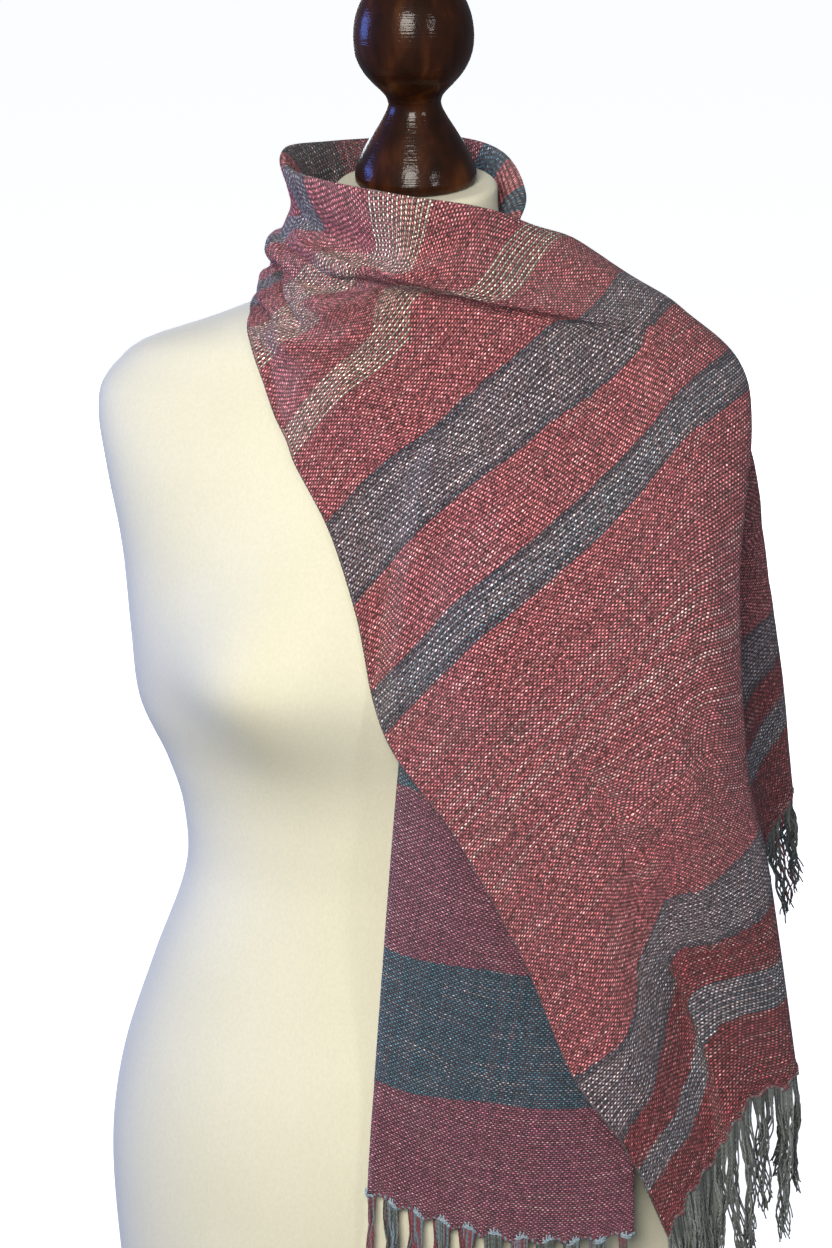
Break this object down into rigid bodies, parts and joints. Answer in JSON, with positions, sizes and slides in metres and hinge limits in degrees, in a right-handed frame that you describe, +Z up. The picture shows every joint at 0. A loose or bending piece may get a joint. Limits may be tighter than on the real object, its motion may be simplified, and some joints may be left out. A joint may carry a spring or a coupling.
{
  "type": "fringed scarf on a dress form",
  "caption": "Hand-woven fringed scarf wound round the neck of a limbless dress form and thrown over one shoulder as a cape.",
  "frame": {"origin": "centre of the dress form's flat underside, where it stands", "axes": "+Z up, -Y the way the form faces, +X towards the shoulder that carries the scarf"},
  "size_m": [0.4181, 0.2717, 0.8461],
  "materials": {
    "cloth": "hand-woven plain weave with slubs, rose red with grey, teal and cream weft stripes",
    "fringe": "loose twisted warp ends, grey-green with some rose",
    "jersey": "stretched cream jersey, matt and smooth",
    "wood": "turned hardwood, dark mahogany stain, gloss varnish"
  },
  "bodies": {
    "root": {"form_torso": "jersey", "form_knob": "wood", "scarf_end": "cloth", "scarf_drape": "cloth", "scarf_cowl": "cloth", "scarf_neck": "cloth", "scarf_tail": "cloth", "fringe_front": "fringe", "fringe_side": "fringe", "fringe_back": "fringe", "fringe_tail": "fringe"}
  },
  "joints": []
}
